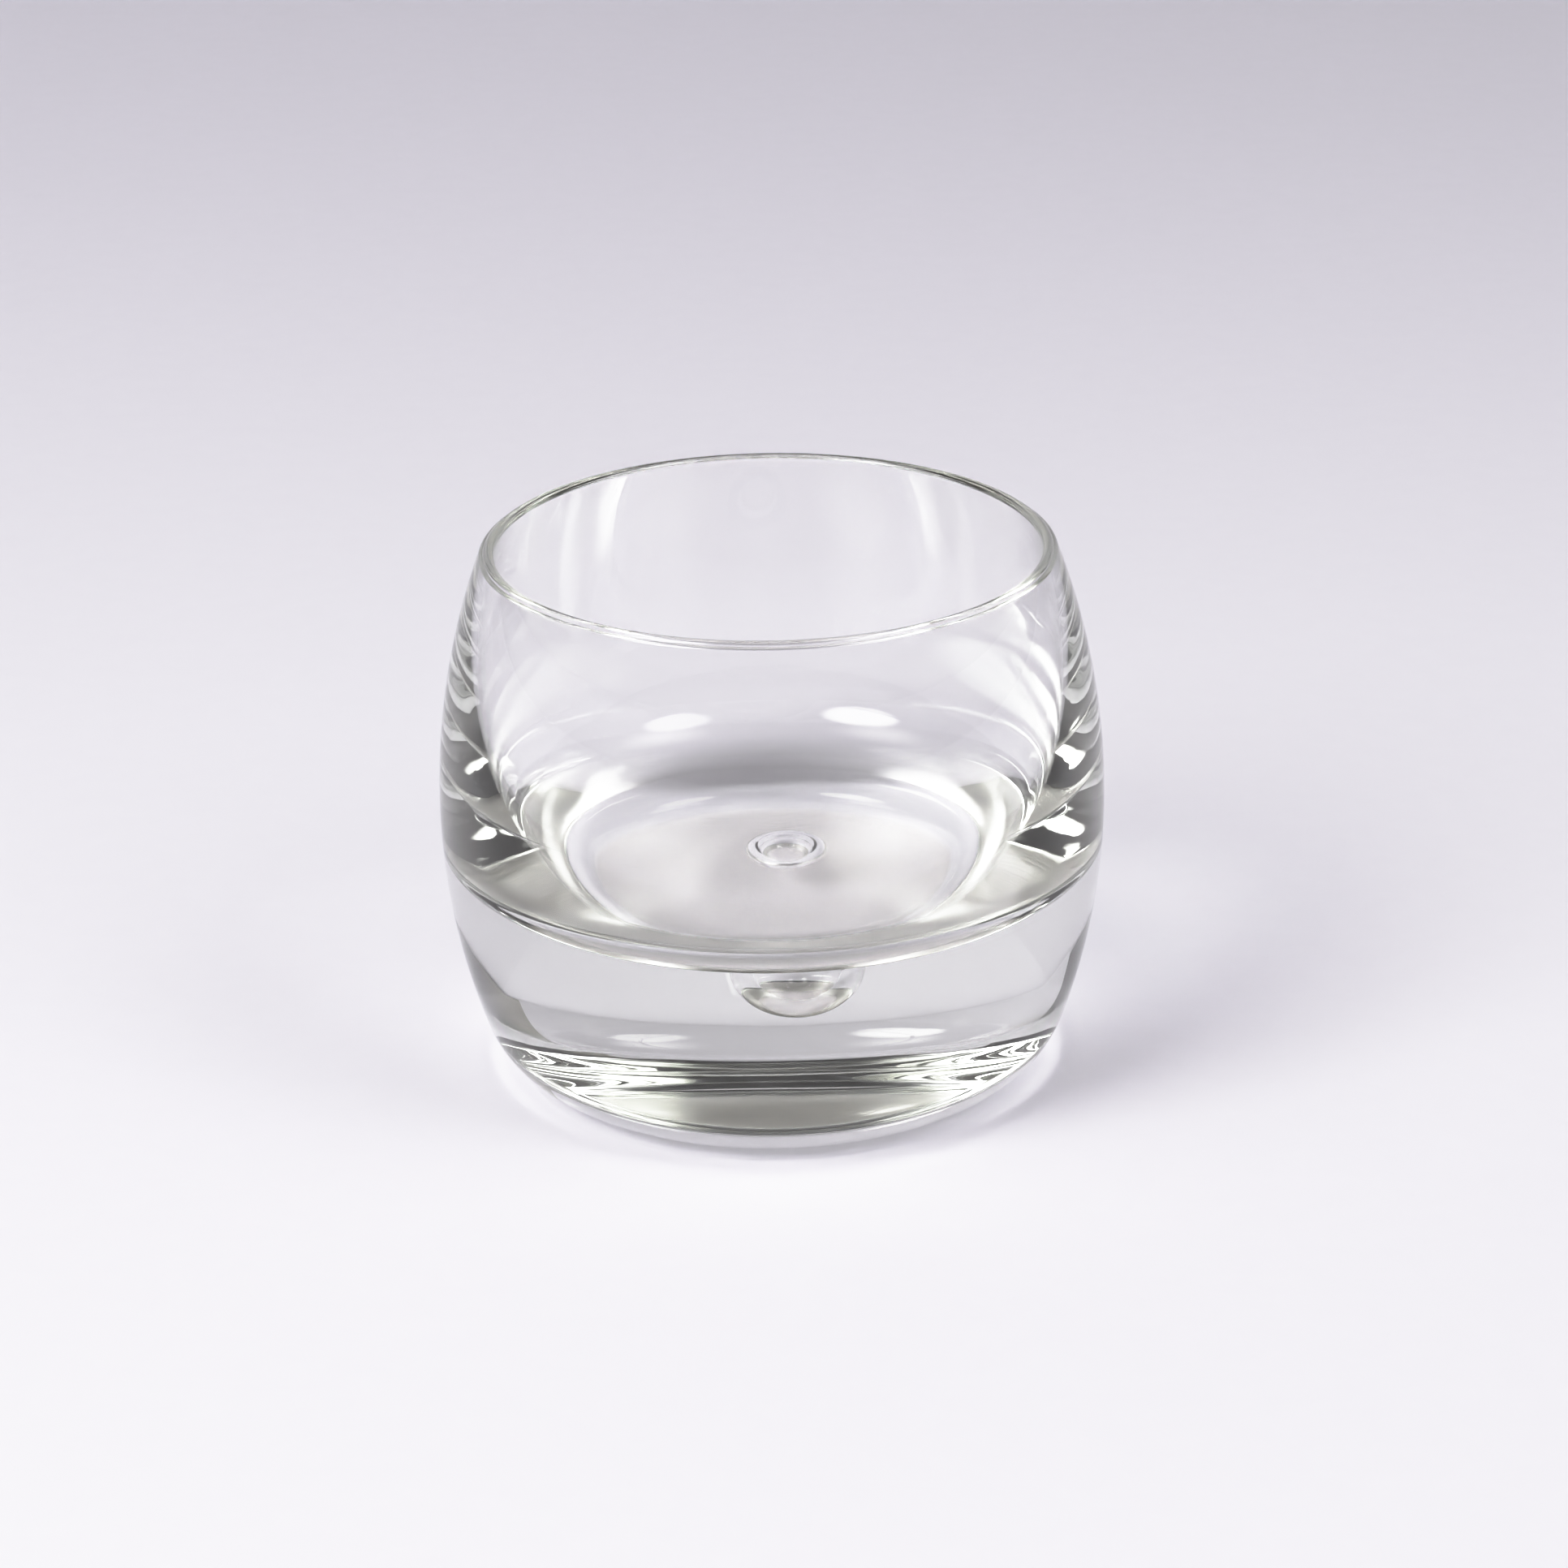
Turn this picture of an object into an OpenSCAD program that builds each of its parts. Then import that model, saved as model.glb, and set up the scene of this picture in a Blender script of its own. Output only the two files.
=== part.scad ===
// Amuse-bouche glass: a small barrel-shaped tumbler with a heavy clear base and one air bubble under its floor.
// The bowl and the base are two gathers of glass, fused on a flat face at the height of the bubble's middle.
// The origin is on the table, on the axis of the glass. Lengths are in millimetres.

/* [Outside] */
// Height from the table to the top of the rim
glass_h = 66; // [60:0.5:74]
// Diameter at the belly, the widest place
belly_d = 80; // [72:0.5:90]
// Height of the belly above the table
belly_z = 34; // [30:0.5:40]
// How far the rim lies inside the belly, all round
rim_inset = 5.7; // [4:0.1:8]
// How far the side draws in between the belly and the heel, all round
side_draw = 3.9; // [2.5:0.1:6]
// Radius of the heel, between the side and the flat foot
heel_r = 10.85; // [8:0.05:13]

/* [Rim] */
// Thickness of the rim, from the inside of its bead to the outside of its shoulder
rim_wall = 1.9; // [1.4:0.1:2.6]
// Radius of the fire-polished bead along the top of the rim
bead_r = 0.7; // [0.5:0.05:0.9]
// Radius of the shoulder outside the bead
shoulder_r = 0.5; // [0.3:0.05:0.8]
// How far the top of the shoulder lies below the top of the bead
shoulder_drop = 0.5; // [0.2:0.05:0.8]

/* [Inside] */
// How far the inside, at its widest, lies inside the belly, all round
wall_inset = 4; // [3:0.1:5]
// Height above the table where the inside is widest
wide_z = 45.25; // [42:0.25:50]
// How far the wall draws in between its widest place and the cove, all round
wall_draw = 1.7; // [0.5:0.1:3]
// Radius of the cove between the wall and the flat floor
cove_r = 10.65; // [6:0.05:14]
// Thickness of the glass between the bubble and the floor
bubble_cover = 0.65; // [0.4:0.05:3]

/* [Base and bubble] */
// Height of the fused joint, and of the bubble's middle, above the table
weld_z = 18.6; // [14:0.1:22]
// Diameter of the bubble
bubble_d = 10.3; // [6:0.1:12]
// How far the bubble has settled to one side of the axis
bubble_shift = 1.7; // [0:0.1:4]

/* [Hidden] */
$fn = 180;

bowl_colour = [0.88, 0.93, 0.92, 0.45];
base_colour = [0.78, 0.86, 0.84, 0.6];

// Room that a cutting shape runs past what it cuts
past = 5;

// Radius of an arc that stands upright at one point and is tangent to a circle of radius r. The circle's centre
// lies a towards the axis from that point, and b above or below it. The circle lies inside the arc, or outside
// it where r is negative.
function tangent_arc(a, b, r) = (a * a + b * b - r * r) / (2 * (a - r));

// Point where a line from one centre through another meets an arc of radius r about the first centre
function on_arc(from, to, r) = from + r * (to - from) / norm(to - from);

belly_r = belly_d / 2;
bubble_r = bubble_d / 2;
bead_c = [belly_r - rim_inset - rim_wall + bead_r, glass_h - bead_r];
shoulder_c = [belly_r - rim_inset - shoulder_r, glass_h - shoulder_drop - shoulder_r];

// Side below the belly, tangent to the heel
foot_r = belly_r - side_draw - heel_r;
heel_c = [foot_r, heel_r];
lower_r = tangent_arc(belly_r - foot_r, belly_z - heel_r, heel_r);
lower_c = [belly_r - lower_r, belly_z];
heel_top = on_arc(lower_c, heel_c, lower_r);

// Side above the belly, tangent to the shoulder of the rim
upper_r = tangent_arc(belly_r - shoulder_c.x, shoulder_c.y - belly_z, shoulder_r);
upper_c = [belly_r - upper_r, belly_z];
rim_outer = on_arc(upper_c, shoulder_c, upper_r);

// Wall inside, below its widest place, tangent to the cove
floor_z = weld_z + bubble_r + bubble_cover;
wide_r = belly_r - wall_inset;
flat_r = wide_r - wall_draw - cove_r;
cove_c = [flat_r, floor_z + cove_r];
wall_r = tangent_arc(wide_r - flat_r, wide_z - cove_c.y, cove_r);
wall_c = [wide_r - wall_r, wide_z];
cove_top = on_arc(wall_c, cove_c, wall_r);

// Wall inside, above its widest place, tangent to the bead of the rim
neck_r = tangent_arc(wide_r - bead_c.x, bead_c.y - wide_z, -bead_r);
neck_c = [wide_r - neck_r, wide_z];
rim_inner = on_arc(neck_c, bead_c, neck_r);

// Half of the section plane above a height
module above(z) {
    translate([0, z])
        square([belly_d, glass_h]);
}

// Half of the section plane below a height
module below(z) {
    translate([0, z - glass_h])
        square([belly_d, glass_h]);
}

// Half section of a barrel that stands on a flat disc: the disc, a round corner, a side that is tangent to the
// corner, and a second side above the widest height
module barrel(corner_c, corner_r, corner_top, side_c, side_r, top_r) {
    translate([0, corner_c.y - corner_r])
        square([corner_c.x, glass_h]);
    translate(corner_c)
        circle(corner_r);
    intersection() {
        above(corner_top.y);
        below(side_c.y);
        translate(side_c)
            circle(side_r);
    }
    intersection() {
        above(side_c.y);
        translate([side_c.x + side_r - top_r, side_c.y])
            circle(top_r);
    }
}

// Half section of the whole outside
module outside() {
    barrel(heel_c, heel_r, heel_top, lower_c, lower_r, upper_r);
}

// Half section of the space inside the bowl
module inside() {
    barrel(cove_c, cove_r, cove_top, wall_c, wall_r, neck_r);
}

// Half plane above the two points where the wall runs into the rim
module above_rim() {
    along = past * (rim_outer - rim_inner) / norm(rim_outer - rim_inner);
    up = [0, past];
    low = rim_inner - along;
    high = rim_outer + along;
    polygon([low, high, high + up, low + up]);
}

// Bubble, round and a little off the axis
module bubble() {
    translate([bubble_shift, 0, weld_z])
        sphere(bubble_r);
}

// Upper gather: floor, wall and rim, with the upper half of the bubble in its underside
module bowl() {
    color(bowl_colour)
        difference() {
            rotate_extrude() {
                difference() {
                    intersection() {
                        outside();
                        above(weld_z);
                        below(glass_h);
                    }
                    inside();
                    above_rim();
                }
                translate(bead_c)
                    circle(bead_r);
                translate(shoulder_c)
                    circle(shoulder_r);
            }
            bubble();
        }
}

// Lower gather: heavy base with a flat foot, and the lower half of the bubble in its top
module base() {
    color(base_colour)
        difference() {
            rotate_extrude()
                intersection() {
                    outside();
                    below(weld_z);
                }
            bubble();
        }
}

bowl();
base();
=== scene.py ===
# %% [markdown]
# # Amuse-bouche glass
# A small barrel-shaped tumbler of clear glass, for one mouthful of food. Two gathers of hot glass make it: a bowl
# with a thin wall, and a heavy base. They are fused face to face, and one air bubble is caught in the joint.
#
# The packed CAD model comes first. It is the fixed frame that both pieces have to fit.

# %% Load the frame
import math

import bpy
import numpy as np
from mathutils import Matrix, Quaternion, Vector


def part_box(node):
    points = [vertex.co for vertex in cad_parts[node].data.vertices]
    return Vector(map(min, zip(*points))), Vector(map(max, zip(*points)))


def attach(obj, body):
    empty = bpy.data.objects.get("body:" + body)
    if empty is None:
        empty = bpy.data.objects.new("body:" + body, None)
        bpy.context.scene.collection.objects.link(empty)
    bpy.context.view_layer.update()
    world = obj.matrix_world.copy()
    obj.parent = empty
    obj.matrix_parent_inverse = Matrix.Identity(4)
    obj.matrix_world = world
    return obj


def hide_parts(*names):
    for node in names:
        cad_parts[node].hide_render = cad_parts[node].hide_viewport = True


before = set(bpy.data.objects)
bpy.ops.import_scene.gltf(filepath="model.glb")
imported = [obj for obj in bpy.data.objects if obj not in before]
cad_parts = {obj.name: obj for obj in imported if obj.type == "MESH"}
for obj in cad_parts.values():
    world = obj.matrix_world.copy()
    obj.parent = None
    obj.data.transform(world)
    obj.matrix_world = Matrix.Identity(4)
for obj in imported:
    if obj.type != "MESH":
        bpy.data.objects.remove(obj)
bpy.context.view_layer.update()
scene = bpy.context.scene

# %% [markdown]
# The heights and the widest radius are read from the two CAD nodes. The other sizes are the ones a glassmaker would
# note on a drawing: how far the rim draws in, how thick it is, and how the inside runs. Everything is in metres, so
# a length in millimetres is multiplied by MM.

# %% Sizes of the glass
MM = 0.001


def to_tenth(length):
    """The length rounded to a tenth of a millimetre, because the CAD mesh is made of flat triangles."""
    return round(length, 4)


bowl_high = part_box("bowl")[1]
base_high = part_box("base")[1]
glass_h = to_tenth(bowl_high.z)
belly_r = to_tenth(bowl_high.x)
weld_z = to_tenth(base_high.z)
belly_z = 34 * MM
rim_inset = 5.7 * MM
side_draw = 3.9 * MM
heel_r = 10.85 * MM
rim_wall = 1.9 * MM
bead_r = 0.7 * MM
shoulder_r = 0.5 * MM
shoulder_drop = 0.5 * MM
wall_inset = 4 * MM
wide_z = 45.25 * MM
wall_draw = 1.7 * MM
cove_r = 10.65 * MM
bubble_cover = 0.65 * MM
bubble_r = 5.15 * MM
bubble_shift = 1.7 * MM
print(f"height {glass_h:.4f}, belly radius {belly_r:.4f}, joint at {weld_z:.4f}")

# %% [markdown]
# The camera stands where the photographer stood: about 0.6 m away, looking down at the glass. The lens follows from
# how fast the ovals of the rim and the foot change with height. A small sideways shift puts the glass a little left
# of the middle of the frame, and a small roll leans it as the photograph does.

# %% Camera
IMAGE_SIDE = 1932
SENSOR = 36.0
camera_distance = 0.6
camera_elevation = math.radians(22.26)
aim_height = 35.13 * MM
focal_pixels = 6135
axis_pixel = 951
camera_roll = math.radians(0.9)

view_direction = Vector((0, math.cos(camera_elevation), -math.sin(camera_elevation)))
camera_data = bpy.data.cameras.new("camera")
camera_data.sensor_width = SENSOR
camera_data.lens = SENSOR * focal_pixels / IMAGE_SIDE
camera_data.shift_x = (IMAGE_SIDE / 2 - axis_pixel) / IMAGE_SIDE
camera_data.clip_start, camera_data.clip_end = 0.01, 20
camera = bpy.data.objects.new("camera", camera_data)
camera.location = Vector((0, 0, aim_height)) - camera_distance * view_direction
camera.rotation_mode = "QUATERNION"
camera.rotation_quaternion = view_direction.to_track_quat("-Z", "Y") @ Quaternion((0, 0, 1), -camera_roll)
scene.collection.objects.link(camera)
scene.camera = camera
print(f"lens {camera_data.lens:.1f} mm at {[round(x, 4) for x in camera.location]}")

# %% [markdown]
# Both gathers are turned shapes. The section is a chain of arcs, each tangent to the next, as in the CAD model:
# foot, heel, lower side and upper side outside, then the rim, and inside the neck, the wall, the cove and the flat
# floor. One formula gives the radius of an arc that stands upright at its widest place and runs tangent into a known
# circle. The rim is two such circles: a bead, left by the flame that cut and polished the edge, and a small shoulder
# outside it. They cross in a fine crease, which the photograph shows as a thin dark line round the rim.

# %% Arcs of the section
UP = math.pi / 2
GLASS_INSIDE, GLASS_OUTSIDE = 1, -1


def tangent_arc(a, b, r):
    """Radius of an arc that is upright at one point and tangent to a circle of radius r whose centre lies a towards
    the axis and b above or below: a squared plus b squared minus r squared, over twice a minus r. The circle lies
    inside the arc, or outside it where r is negative."""
    return (a * a + b * b - r * r) / (2 * (a - r))


def heading(start, end):
    """Angle of the line between two points of the section."""
    return math.atan2(end[1] - start[1], end[0] - start[0])


def crossing(first_c, first_r, second_c, second_r):
    """The upper one of the two points where two circles cross. The line between the centres is followed for half of
    its length plus the difference of the squared radii over twice its length, and then left at a right angle."""
    first_c, second_c = np.array(first_c), np.array(second_c)
    apart = np.linalg.norm(second_c - first_c)
    line = (second_c - first_c) / apart
    follow = apart / 2 + (first_r ** 2 - second_r ** 2) / (2 * apart)
    aside = math.sqrt(first_r ** 2 - follow ** 2)
    return first_c + follow * line + aside * np.array([-line[1], line[0]])


def arc(centre, radius, start, end, steps, side):
    """Points on a circle with their normals, as columns (radius, height, normal's radius, normal's height): the centre
    plus radius times the cosine and sine of evenly spaced angles. The normal is that cosine and sine times side, which
    is GLASS_INSIDE or GLASS_OUTSIDE: where the glass lies, as seen from the circle."""
    angle = np.linspace(start, end, steps)
    spoke = np.column_stack([np.cos(angle), np.sin(angle)])
    return np.hstack([np.asarray(centre) + radius * spoke, side * spoke])


bead_c = (belly_r - rim_inset - rim_wall + bead_r, glass_h - bead_r)
shoulder_c = (belly_r - rim_inset - shoulder_r, glass_h - shoulder_drop - shoulder_r)
foot_r = belly_r - side_draw - heel_r
heel_c = (foot_r, heel_r)
lower_r = tangent_arc(belly_r - foot_r, belly_z - heel_r, heel_r)
lower_c = (belly_r - lower_r, belly_z)
upper_r = tangent_arc(belly_r - shoulder_c[0], shoulder_c[1] - belly_z, shoulder_r)
upper_c = (belly_r - upper_r, belly_z)
floor_z = weld_z + bubble_r + bubble_cover
wide_r = belly_r - wall_inset
floor_r = wide_r - wall_draw - cove_r
cove_c = (floor_r, floor_z + cove_r)
wall_r = tangent_arc(wide_r - floor_r, wide_z - cove_c[1], cove_r)
wall_c = (wide_r - wall_r, wide_z)
neck_r = tangent_arc(wide_r - bead_c[0], bead_c[1] - wide_z, -bead_r)
neck_c = (wide_r - neck_r, wide_z)
weld_angle = math.asin((weld_z - belly_z) / lower_r)
weld_edge_r = lower_c[0] + lower_r * math.cos(weld_angle)
print(f"foot radius {foot_r:.4f}, floor at {floor_z:.4f}, joint radius {weld_edge_r:.5f}")

# %% [markdown]
# The bubble sits a little to one side, so a plain lathe isn't enough. Each row of the section therefore carries how
# far the centre of its ring is shifted sideways, then the ring's radius and height, and the two parts of its normal.
# On the bubble the shift is the bubble's own, across the joint it fades to nothing, and everywhere else it is nothing.
# One grid of rings then makes each gather as a single closed skin, with a pole at both ends. At the rim both arcs stop
# a twentieth of a millimetre short of the crease, so the crease is a little blunt.

# %% Rows of rings
JOINT_GAP = 0.004 * MM
CREASE_ROUND = 0.05 * MM
FACING_UP, FACING_DOWN = 1, -1
BUBBLE_STEPS, JOINT_STEPS, DISC_STEPS = 32, 6, 12
LOWER_STEPS, UPPER_STEPS = 24, 40
SHOULDER_STEPS, BEAD_STEPS = 14, 32
NECK_STEPS, WALL_STEPS, COVE_STEPS = 32, 28, 40
HEEL_STEPS, BASE_SIDE_STEPS = 90, 36


def rows(points, shift=0.0):
    """Rows (shift, radius, height, normal's radius, normal's height) from points of the section."""
    return np.column_stack([np.full(len(points), shift), points])


def level(shift, radius, height, facing):
    """Rows of a flat level face: every ring at one height, with its normal straight up or down."""
    same = np.ones(len(radius))
    return np.column_stack([shift * same, radius, height * same, 0 * same, facing * same])


def joint_rows(steps, facing):
    """Rows of the flat joint, from the bubble's edge to the side: shift and radius change evenly between the two, and
    each face lies half of the joint's gap back from the joint."""
    share = np.linspace(0, 1, steps + 2)[1:-1]
    radius = bubble_r + share * (weld_edge_r - bubble_r)
    return level(bubble_shift * (1 - share), radius, weld_z - facing * JOINT_GAP / 2, facing)


def disc_rows(radius, height, steps, facing):
    """Rows of a flat round face, from its middle outwards, without its edge."""
    return level(0.0, np.linspace(0, radius, steps + 1)[:-1], height, facing)


bubble_c = (0.0, weld_z)
to_shoulder, to_bead = heading(upper_c, shoulder_c), heading(neck_c, bead_c)
crease = crossing(bead_c, bead_r, shoulder_c, shoulder_r)
shoulder_end = heading(shoulder_c, crease) - CREASE_ROUND / shoulder_r
bead_start = heading(bead_c, crease) + CREASE_ROUND / bead_r
to_cove, to_heel = heading(wall_c, cove_c), heading(lower_c, heel_c)
dome = rows(arc(bubble_c, bubble_r, UP, 0, BUBBLE_STEPS, GLASS_OUTSIDE), bubble_shift)
bowl_rows = np.vstack([
    dome,
    joint_rows(JOINT_STEPS, FACING_DOWN),
    rows(arc(lower_c, lower_r, weld_angle, 0, LOWER_STEPS, GLASS_INSIDE)),
    rows(arc(upper_c, upper_r, 0, to_shoulder, UPPER_STEPS, GLASS_INSIDE)[1:]),
    rows(arc(shoulder_c, shoulder_r, to_shoulder, shoulder_end, SHOULDER_STEPS, GLASS_INSIDE)[1:]),
    rows(arc(bead_c, bead_r, bead_start, to_bead + math.pi, BEAD_STEPS, GLASS_INSIDE)),
    rows(arc(neck_c, neck_r, to_bead, 0, NECK_STEPS, GLASS_OUTSIDE)[1:]),
    rows(arc(wall_c, wall_r, 0, to_cove, WALL_STEPS, GLASS_OUTSIDE)[1:]),
    rows(arc(cove_c, cove_r, to_cove, -UP, COVE_STEPS, GLASS_OUTSIDE)[1:]),
    disc_rows(floor_r, floor_z, DISC_STEPS, FACING_UP)[::-1],
])
bowl_joint = (len(dome) - 1, len(dome) + JOINT_STEPS)
dimple = rows(arc(bubble_c, bubble_r, -UP, 0, BUBBLE_STEPS, GLASS_OUTSIDE), bubble_shift)
base_side = np.vstack([
    disc_rows(foot_r, 0.0, DISC_STEPS, FACING_DOWN),
    rows(arc(heel_c, heel_r, -UP, to_heel, HEEL_STEPS, GLASS_INSIDE)),
    rows(arc(lower_c, lower_r, to_heel, weld_angle, BASE_SIDE_STEPS, GLASS_INSIDE)[1:]),
])
base_rows = np.vstack([base_side, joint_rows(JOINT_STEPS, FACING_UP)[::-1], dimple[::-1]])
base_joint = (len(base_side) - 1, len(base_side) + JOINT_STEPS)
print("rings: bowl", len(bowl_rows), "base", len(base_rows))

# %% [markdown]
# Each gather is closed like blown glass, so one grid is enough: rings along the section, steps round the axis. The
# normals are worked out with the points and given to the corners of the faces, because glass shows every facet. At
# the joint the corners get the joint's own level normal instead, so that its edge stays sharp. A number on each face
# says whether the face lies in the joint, and the glass material reads it later.

# %% Skin a grid of rings
AROUND = 360


def ring_grid(ring_rows):
    """Grids of points and normals from rows and an angle. A point is the shift plus radius times the cosine, then
    radius times the sine, then the height. A normal is the same without the shift, from the section's normal."""
    angle = np.linspace(0, 2 * math.pi, AROUND, endpoint=False)
    across, along, flat = np.cos(angle), np.sin(angle), np.ones(AROUND)
    shift, radius, height, out, up = (column[:, None] for column in ring_rows.T)
    points = np.stack([shift + radius * across, radius * along, height * flat], axis=-1)
    normals = np.stack([out * across, out * along, up * flat], axis=-1)
    return points, normals


def skin(name, ring_rows, joint, joint_facing):
    """A closed mesh object from rows of rings. The first and last rows shrink to poles, quads run between rings and
    triangles round the poles. Faces between the joint's two row numbers carry 1 in the attribute joint, others 0."""
    points, normals = (grid.reshape(-1, 3)[AROUND - 1:1 - AROUND] for grid in ring_grid(ring_rows))
    count = len(ring_rows) - 2
    row, step = np.meshgrid(np.arange(count - 1), np.arange(AROUND), indexing="ij")
    corner, after = 1 + row * AROUND + step, 1 + row * AROUND + (step + 1) % AROUND
    quads = np.stack([corner, after, after + AROUND, corner + AROUND], axis=-1).reshape(-1, 4)
    step = np.arange(AROUND)
    after = (step + 1) % AROUND
    last = 1 + count * AROUND
    start_fan = np.column_stack([0 * step, 1 + after, 1 + step])
    end_fan = np.column_stack([0 * step + last, last - AROUND + step, last - AROUND + after])
    mesh = bpy.data.meshes.new(name)
    mesh.from_pydata(points.tolist(), [], quads.tolist() + start_fan.tolist() + end_fan.tolist())
    quad_row = np.repeat(np.arange(1, count), AROUND)
    on_joint = np.zeros(len(mesh.polygons), dtype=bool)
    on_joint[:len(quad_row)] = (quad_row >= joint[0]) & (quad_row < joint[1])
    mesh.polygons.foreach_set("use_smooth", np.ones(len(mesh.polygons), dtype=bool))
    mesh.attributes.new("joint", "FLOAT", "FACE").data.foreach_set("value", on_joint.astype(np.float32))
    corner_point = np.empty(len(mesh.loops), dtype=np.int32)
    corner_count = np.empty(len(mesh.polygons), dtype=np.int32)
    mesh.loops.foreach_get("vertex_index", corner_point)
    mesh.polygons.foreach_get("loop_total", corner_count)
    corner_on_joint = np.repeat(on_joint, corner_count)[:, None]
    corner_normals = np.where(corner_on_joint, (0.0, 0.0, joint_facing), normals[corner_point])
    mesh.update()
    mesh.normals_split_custom_set(corner_normals.tolist())
    piece = bpy.data.objects.new(name, mesh)
    scene.collection.objects.link(piece)
    return piece


bowl = skin("bowl_gather", bowl_rows, bowl_joint, FACING_DOWN)
base = skin("base_gather", base_rows, base_joint, FACING_UP)
for piece in (bowl, base):
    print(piece.name, len(piece.data.vertices), "vertices,", len(piece.data.polygons), "faces")

# %% [markdown]
# Finishes are made of nodes, and sums are easier to read than wires. The class below stands for one output socket of
# a node. A sum, difference or product of two such wires adds a Math node, and one method adds any other kind of node:
# it sets the node's settings first, then its sockets, and gives back one output.

# %% Shader wires
FIRST_COLOUR, SECOND_COLOUR, MIXED_COLOUR = 6, 7, 2


class Wire:
    """One output socket of a node tree. Sums, differences and products of wires and numbers add Math nodes."""

    def __init__(self, tree, socket=None):
        self.tree, self.socket = tree, socket

    def node(self, kind, settings=None, sockets=None, out=0):
        """Adds a node of this kind to the tree, sets its settings first and its sockets next, and gives one output."""
        made = self.tree.nodes.new(kind)
        for name, value in (settings or {}).items():
            setattr(made, name, value)
        for name, value in (sockets or {}).items():
            if isinstance(value, Wire):
                self.tree.links.new(value.socket, made.inputs[name])
            else:
                made.inputs[name].default_value = value
        return Wire(self.tree, made.outputs[out] if len(made.outputs) else None)

    def math(self, operation, first, second):
        """A Math node of two wires or numbers."""
        return self.node("ShaderNodeMath", {"operation": operation}, {0: first, 1: second})

    def fade(self, nothing, full):
        """0 where this wire is at or beyond nothing, 1 where it is at or beyond full, and a smooth step between."""
        return self.node("ShaderNodeMapRange", {"interpolation_type": "SMOOTHSTEP"},
                         {"Value": self, "From Min": nothing, "From Max": full, "To Min": 0.0, "To Max": 1.0})

    def mix(self, first, second):
        """The first colour where this wire is 0, the second where it is 1, and a mix between."""
        return self.node("ShaderNodeMix", {"data_type": "RGBA"},
                         {"Factor": self, FIRST_COLOUR: first, SECOND_COLOUR: second}, out=MIXED_COLOUR)

    def stretched(self, factors):
        """This vector times a factor along each axis."""
        return self.node("ShaderNodeVectorMath", {"operation": "MULTIPLY"}, {0: self, 1: factors})

    def noise(self, scale, detail):
        """Cloudy noise from 0 to 1 at this vector."""
        return self.node("ShaderNodeTexNoise", None, {"Vector": self, "Scale": scale, "Detail": detail})

    def part(self, axis):
        """One part of this vector, X, Y or Z."""
        return self.node("ShaderNodeSeparateXYZ", None, {0: self}, out=axis)

    def __add__(self, other):
        return self.math("ADD", self, other)

    def __mul__(self, other):
        return self.math("MULTIPLY", self, other)

    def __sub__(self, other):
        return self.math("SUBTRACT", self, other)

    def __rsub__(self, other):
        return self.math("SUBTRACT", other, self)

    __radd__, __rmul__ = __add__, __mul__


def empty_tree(owner):
    """Clears the nodes of a material, light or world, and gives a wire from which nodes are added."""
    owner.use_nodes = True
    owner.node_tree.nodes.clear()
    return Wire(owner.node_tree)


print("a wire can be", [name for name in vars(Wire) if not name.startswith("_")])

# %% [markdown]
# Soda-lime glass bends light by an index of 1.52. Its faint grey-green tint belongs to the inside, so a volume
# absorbs light with the length of its way, and thick places come out darker than the rim. The outside is never quite
# true: the mould and the fire leave slow swells of two hundredths of a millimetre and fine lying waves of a few
# thousandths, which fade out towards the fire-polished lip. They are too shallow to model, so they are a bump.
#
# The two gathers are fused, and no surface is left where they meet. The faces of the joint are therefore made fully
# clear with Alpha, and light runs through from one piece to the other. The foot has stood on many tables: a fine
# brushed grain, a little roughness and a trace of matt white, on the flat foot alone.

# %% Glass material
GLASS_IOR = 1.52
TINT_COLOUR, TINT_DENSITY = (0.79, 0.805, 0.76, 1), 12.0
WAVE_HEIGHT, SWELL_HEIGHT, GRAIN_HEIGHT = 0.005 * MM, 0.02 * MM, 0.035 * MM
WAVE_SCALE, SWELL_SCALE, GRAIN_SCALE = 240.0, 80.0, 1600.0
WAVE_DETAIL, SWELL_DETAIL, GRAIN_DETAIL = 1.0, 0.0, 2.0
WAVE_STRETCH, GRAIN_STRETCH = (0.4, 0.4, 1.0), (0.25, 1.0, 1.0)
LIP_SMOOTH_Z, WALL_WAVY_Z = 62 * MM, 54 * MM
FOOT_FADE_Z, FOOT_FULL_Z = 0.2 * MM, 0.02 * MM
FOOT_ROUGHNESS, FOOT_MATT = 0.25, 0.16
MATT_COLOUR = (0.98, 0.91, 0.82, 1)


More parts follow.
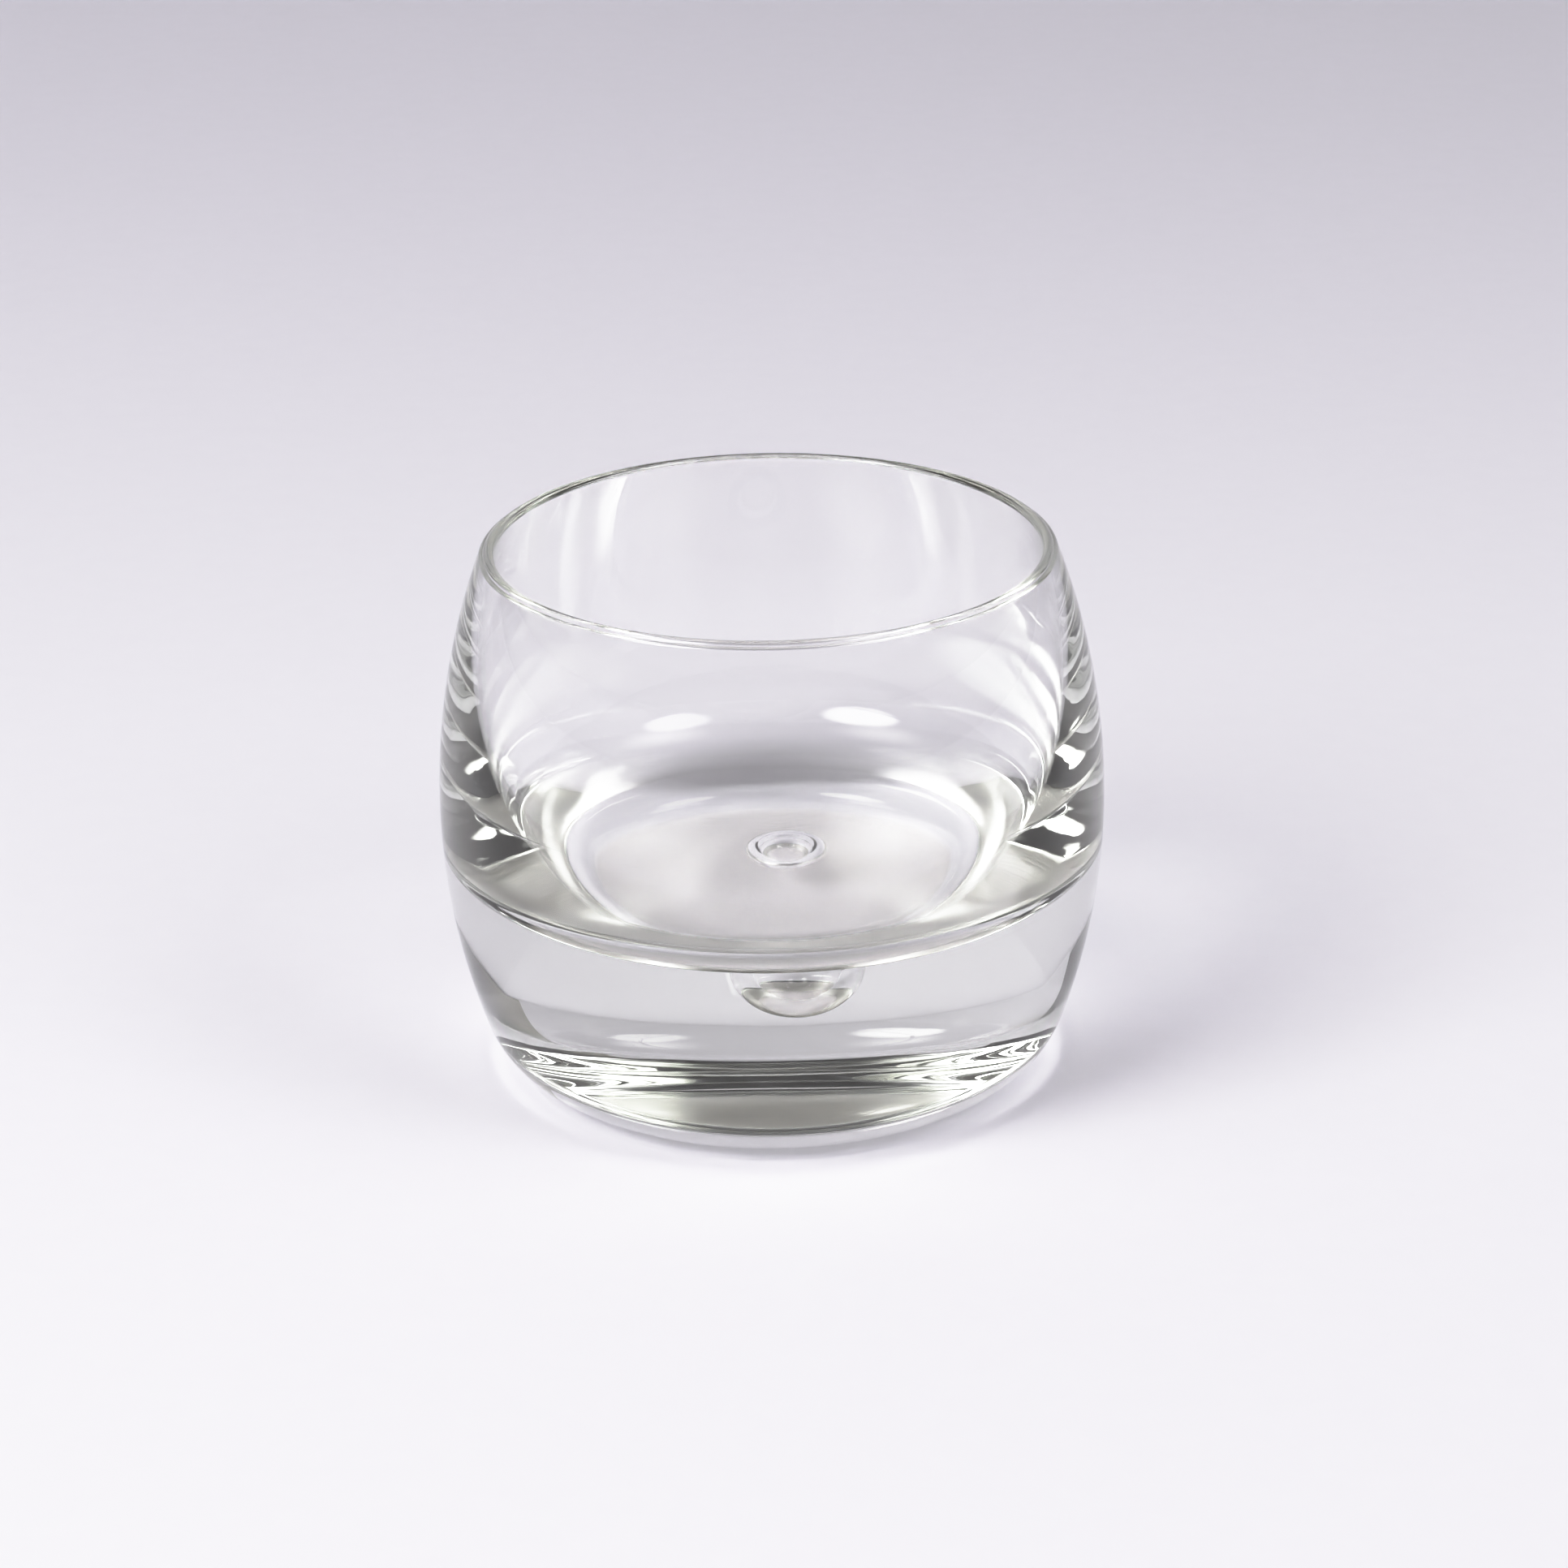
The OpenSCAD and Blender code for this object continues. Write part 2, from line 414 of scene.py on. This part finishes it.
def glass(name, has_foot):
    """Clear glass with faint waves, clear joint faces and a tint inside. The glass of a foot is finely worn there."""
    material = bpy.data.materials.new(name)
    start = empty_tree(material)
    place = start.node("ShaderNodeTexCoord", out="Object")
    height = place.part("Z")
    joint = start.node("ShaderNodeAttribute", {"attribute_name": "joint"}, out="Fac")
    wave = place.stretched(WAVE_STRETCH).noise(WAVE_SCALE, WAVE_DETAIL)
    swell = place.noise(SWELL_SCALE, SWELL_DETAIL)
    relief = (wave * WAVE_HEIGHT + swell * SWELL_HEIGHT) * height.fade(LIP_SMOOTH_Z, WALL_WAVY_Z)
    roughness = 0.0
    if has_foot:
        foot = height.fade(FOOT_FADE_Z, FOOT_FULL_Z)
        grain = place.stretched(GRAIN_STRETCH).noise(GRAIN_SCALE, GRAIN_DETAIL)
        relief = relief + grain * foot * GRAIN_HEIGHT
        roughness = foot * FOOT_ROUGHNESS
    bump = start.node("ShaderNodeBump", None, {"Strength": 1.0, "Distance": 1.0, "Height": relief}, out="Normal")
    shader = start.node("ShaderNodeBsdfPrincipled", None, {
        "Base Color": (1, 1, 1, 1), "Roughness": roughness, "IOR": GLASS_IOR, "Transmission Weight": 1.0,
        "Alpha": 1 - joint, "Normal": bump})
    if has_foot:
        matt = start.node("ShaderNodeBsdfDiffuse", None, {"Color": MATT_COLOUR, "Normal": bump})
        shader = start.node("ShaderNodeMixShader", None, {0: foot * FOOT_MATT, 1: shader, 2: matt})
    tint = start.node("ShaderNodeVolumeAbsorption", None, {"Color": TINT_COLOUR, "Density": TINT_DENSITY})
    start.node("ShaderNodeOutputMaterial", None, {"Surface": shader, "Volume": tint})
    return material


bowl.data.materials.append(glass("bowl glass", False))
base.data.materials.append(glass("base glass", True))
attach(bowl, "root")
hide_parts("bowl")
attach(base, "root")
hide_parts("base")
for piece in (bowl, base):
    print(piece.name, "has", piece.data.materials[0].name, "of", len(piece.data.materials[0].node_tree.nodes), "nodes")

# %% [markdown]
# The set is the usual one for a product picture: a white table, and white paper that curves up behind the glass so
# that no edge shows. The paper is one profile, a quarter circle that leaves the table level and ends upright, carried
# round the glass along an arc. It stops at both sides, because the photograph shows a darker room there, seen through
# the edges of the base. The paper also has a faint painted glow of its own: an emission, brightest on the left.

# %% Table and paper
FLOOR_GAP = 0.02 * MM
table_half = 2.6
sweep_near, sweep_bend_r, sweep_top = 0.7, 0.45, 0.95
sweep_left, sweep_right = math.radians(-56), math.radians(41)
# Where the paper's painted glow is brightest, on the left, and dimmest, on the right.
glow_bright_x, glow_dim_x = -0.5, 0.5
SWEEP_STEPS_UP, SWEEP_STEPS_ROUND = 24, 48
PAPER_DARK, PAPER_LIGHT = (0.85, 0.83, 0.895, 1), (0.87, 0.85, 0.915, 1)
MOTTLE_SCALE, MOTTLE_DETAIL = 220.0, 3.0
PAPER_ROUGHNESS, PAPER_SPECULAR = 0.85, 0.2
# Colours and strengths of the paper's painted glow: an emission, not a lamp. The table has none, the sweep a faint
# one.
GLOW_BRIGHT_COLOUR, GLOW_DIM_COLOUR = (1, 0.99, 1, 1), (0.15, 0.148, 0.15, 1)
TABLE_PAINTED_GLOW, SWEEP_PAINTED_GLOW = 0.0, 0.125


def sheet(name, points):
    """A stage object from a grid of points, rows by columns, with one quad between each four neighbours."""
    row_count, column_count = points.shape[:2]
    row, column = np.meshgrid(np.arange(row_count - 1), np.arange(column_count - 1), indexing="ij")
    corner = (row * column_count + column).reshape(-1, 1)
    quads = corner + np.array([0, 1, column_count + 1, column_count])
    mesh = bpy.data.meshes.new(name)
    mesh.from_pydata(points.reshape(-1, 3).tolist(), [], quads.tolist())
    mesh.polygons.foreach_set("use_smooth", np.ones(len(mesh.polygons), dtype=bool))
    made = bpy.data.objects.new(name, mesh)
    scene.collection.objects.link(made)
    return made


def sweep_points(steps_up, steps_round):
    """Points of the paper: distance and height run along a quarter circle and then straight up, and the distance times
    the sine and cosine of the turn gives the place, with the turn measured from straight behind the glass."""
    bend = np.linspace(0, UP, steps_up)
    distance = np.append(sweep_near + sweep_bend_r * np.sin(bend), sweep_near + sweep_bend_r)[:, None]
    height = np.append(sweep_bend_r * (1 - np.cos(bend)), sweep_top)[:, None]
    turn = np.linspace(sweep_left, sweep_right, steps_round)[None, :]
    return np.stack([distance * np.sin(turn), distance * np.cos(turn), height + 0 * turn], axis=-1)


def paper(name, painted_glow):
    """White paper with a fine mottle. It carries a painted glow, an emission of the given strength, brightest on the
    left.
    """
    material = bpy.data.materials.new(name)
    start = empty_tree(material)
    place = start.node("ShaderNodeTexCoord", out="Object")
    white = place.noise(MOTTLE_SCALE, MOTTLE_DETAIL).mix(PAPER_DARK, PAPER_LIGHT)
    # Painted glow: the emission colour runs from bright on the left to dim on the right.
    glow_falloff = start.node("ShaderNodeMapRange", None, {
        "Value": place.part("X"), "From Min": glow_bright_x, "From Max": glow_dim_x, "To Min": 0.0, "To Max": 1.0})
    shader = start.node("ShaderNodeBsdfPrincipled", None, {
        "Base Color": white, "Roughness": PAPER_ROUGHNESS, "Specular IOR Level": PAPER_SPECULAR,
        "Emission Color": glow_falloff.mix(GLOW_BRIGHT_COLOUR, GLOW_DIM_COLOUR), "Emission Strength": painted_glow})
    start.node("ShaderNodeOutputMaterial", None, {"Surface": shader})
    return material


across, along = np.meshgrid([-table_half, table_half], [-table_half, table_half])
table = sheet("table_top", np.stack([across, along, np.full((2, 2), -FLOOR_GAP)], axis=-1))
sweep = sheet("paper_sweep", sweep_points(SWEEP_STEPS_UP, SWEEP_STEPS_ROUND))
table.data.materials.append(paper("table paper", TABLE_PAINTED_GLOW))
sweep.data.materials.append(paper("sweep paper", SWEEP_PAINTED_GLOW))
sweep_rise = math.degrees(math.atan2(sweep_top, sweep_near + sweep_bend_r))
print(f"top of the paper, seen from the glass: {sweep_rise:.0f} degrees up")

# %% [markdown]
# Four umbrellas light the glass: a strong one in front on the left, a weaker one in front on the right, and two
# higher ones at the sides. The glass throws its shadow to the right, which shows that the left one is the main light.
# An open umbrella is an even white disc with a soft edge, so each light is a disc that fades out towards its rim. The
# bright patches inside the bowl are mirror images of these discs.

# %% Lights
light_distance = 1.15
light_target = Vector((0, 0, 30 * MM))
DISC_MIDDLE = (0.5, 0.5, 0.0)


def umbrella(name, azimuth, elevation, width, power, even):
    """A round light that faces the glass, at an azimuth from the viewer's side and an elevation, both in degrees.
    Width is the angle that it covers, seen from the glass. It is even up to the share even of its radius, and fades
    out from there to its edge."""
    data = bpy.data.lights.new(name, "AREA")
    data.shape = "DISK"
    data.size = 2 * light_distance * math.tan(math.radians(width / 2))
    data.energy = power
    start = empty_tree(data)
    spot = start.node("ShaderNodeNewGeometry", out="Parametric")
    share = start.node("ShaderNodeVectorMath", {"operation": "DISTANCE"}, {0: spot, 1: DISC_MIDDLE}, out="Value") * 2
    emission = start.node("ShaderNodeEmission", None, {"Color": (1, 1, 1, 1), "Strength": share.fade(1.0, even)})
    start.node("ShaderNodeOutputLight", None, {"Surface": emission})
    lamp = bpy.data.objects.new(name, data)
    turn, rise = math.radians(azimuth), math.radians(elevation)
    lamp.location = light_target + light_distance * Vector((
        math.sin(turn) * math.cos(rise), -math.cos(turn) * math.cos(rise), math.sin(rise)))
    lamp.rotation_euler = (light_target - lamp.location).to_track_quat("-Z", "Y").to_euler()
    scene.collection.objects.link(lamp)
    print(f"{name}: {data.size:.2f} m across, {power} W, at {[round(x, 2) for x in lamp.location]}")


umbrella("key_umbrella", azimuth=-46, elevation=40, width=34, power=15.3, even=0.6)
umbrella("second_umbrella", azimuth=50, elevation=43, width=30, power=6.2, even=0.6)
umbrella("left_side_umbrella", azimuth=-75, elevation=57, width=38, power=6.8, even=0.0)
umbrella("right_side_umbrella", azimuth=75, elevation=57, width=38, power=6.8, even=0.0)

# %% [markdown]
# Clear glass is drawn by what stands round it. Its black lines are the dark room, bent into view, so the room stays
# nearly dark. Two faint glows are left: the lower wall on the viewer's side, and the wall behind, above the paper.

# %% Room
ROOM_GLOW, FRONT_GLOW, BACK_GLOW = 0.03, 0.08, 0.25
ROOM_COLOUR = (1, 0.95, 0.89, 1)
FRONT_TOP, FRONT_SIDES = (0.65, 0.4), (-0.3, -0.7)
BACK_TOP, BACK_SIDES = (0.85, 0.6), (0.4, 0.7)
room = bpy.data.worlds.new("room")
start = empty_tree(room)
toward = start.node("ShaderNodeTexCoord", out="Generated")
back, up = toward.part("Y"), toward.part("Z")
front_wall = up.fade(*FRONT_TOP) * back.fade(*FRONT_SIDES)
back_wall = up.fade(*BACK_TOP) * back.fade(*BACK_SIDES)
sky = start.node("ShaderNodeBackground", None, {
    "Color": ROOM_COLOUR, "Strength": front_wall * FRONT_GLOW + back_wall * BACK_GLOW + ROOM_GLOW})
start.node("ShaderNodeOutputWorld", None, {"Surface": sky})
scene.world = room
print("room:", len(room.node_tree.nodes), "nodes")

# %% [markdown]
# Light goes through many surfaces on its way through a glass, so the limits on bounces are raised, and the bright
# rings that the glass throws on the table stay on. The tone response is straight up to 0.9 and rolls off above it, so
# that the table stays just below white, as in the photograph.

# %% Render settings
GLASS_BOUNCES, CLEAR_BOUNCES, PAPER_BOUNCES = 32, 32, 4
COMBINED_CURVE = 3
scene.cycles.max_bounces = GLASS_BOUNCES
scene.cycles.transmission_bounces = GLASS_BOUNCES
scene.cycles.glossy_bounces = GLASS_BOUNCES
scene.cycles.diffuse_bounces = PAPER_BOUNCES
scene.cycles.transparent_max_bounces = CLEAR_BOUNCES
scene.cycles.caustics_refractive = True
scene.cycles.caustics_reflective = True
scene.cycles.blur_glossy = 0.0
scene.cycles.sample_clamp_indirect = 0
scene.cycles.use_denoising = True
scene.view_settings.view_transform = "Standard"
response = ((0.45, 0.45), (0.9, 0.9), (1.1, 0.97))
full_white = 1.4
scene.view_settings.use_curve_mapping = True
mapping = scene.view_settings.curve_mapping
mapping.white_level = (full_white,) * 3
combined = mapping.curves[COMBINED_CURVE]
for light, shown in response:
    combined.points.new(light / full_white, shown)
mapping.update()
print("tone response:", [(round(point.location.x * full_white, 2), round(point.location.y, 2))
                         for point in combined.points])
